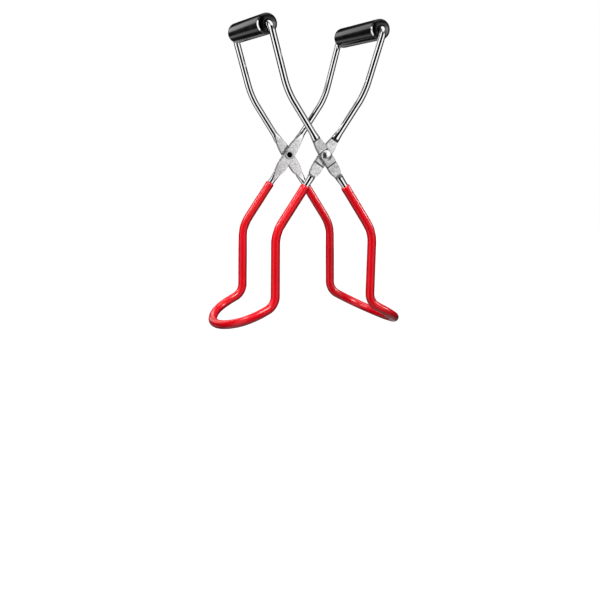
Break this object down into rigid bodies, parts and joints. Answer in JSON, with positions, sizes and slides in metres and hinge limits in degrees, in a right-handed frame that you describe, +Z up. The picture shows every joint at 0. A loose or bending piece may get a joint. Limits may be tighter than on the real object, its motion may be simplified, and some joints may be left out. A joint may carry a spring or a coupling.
{
  "type": "jar lifter",
  "caption": "Scissor-action wire lifter with tilted, vinyl-coated jaw loops that clamp round a jar's neck, and a grip on each handle.",
  "frame": {"origin": "on the common axis of the two rivets, half-way between the front rivet and the rear rivet", "axes": "+Z up from the rivets to the grips, +Y along the rivets' axis from the front side to the rear side, X the way the jaws open: the outer frame's jaw is on +X and its grip on -X"},
  "size_m": [0.1396, 0.0876, 0.2161],
  "materials": {
    "chromed_wire": "mirror-bright plated steel wire, satin where it is pressed flat",
    "jaw_vinyl": "glossy dipped vinyl",
    "grip_plastic": "glossy moulded plastic",
    "rivet_steel": "bright plated steel, worn on the crown"
  },
  "bodies": {
    "inner_half": {"inner_frame": "chromed_wire", "inner_jaw_coating": "jaw_vinyl", "front_rivet": "rivet_steel", "rear_rivet": "rivet_steel"},
    "outer_half": {"outer_frame": "chromed_wire", "outer_jaw_coating": "jaw_vinyl"},
    "outer_grip": {"outer_grip": "grip_plastic"},
    "inner_grip": {"inner_grip": "grip_plastic"}
  },
  "joints": [
    {"name": "scissor_pivot", "type": "hinge", "parent": "inner_half", "child": "outer_half", "pos_m": [0, 0, 0], "axis": [0, 1, 0], "range_deg": [-78, 35]},
    {"name": "outer_grip_spin", "type": "hinge", "parent": "outer_half", "child": "outer_grip", "pos_m": [-0.0412, 0, 0.0869], "axis": [0, 1, 0], "continuous": true},
    {"name": "inner_grip_spin", "type": "hinge", "parent": "inner_half", "child": "inner_grip", "pos_m": [0.0412, 0, 0.0869], "axis": [0, 1, 0], "continuous": true}
  ]
}
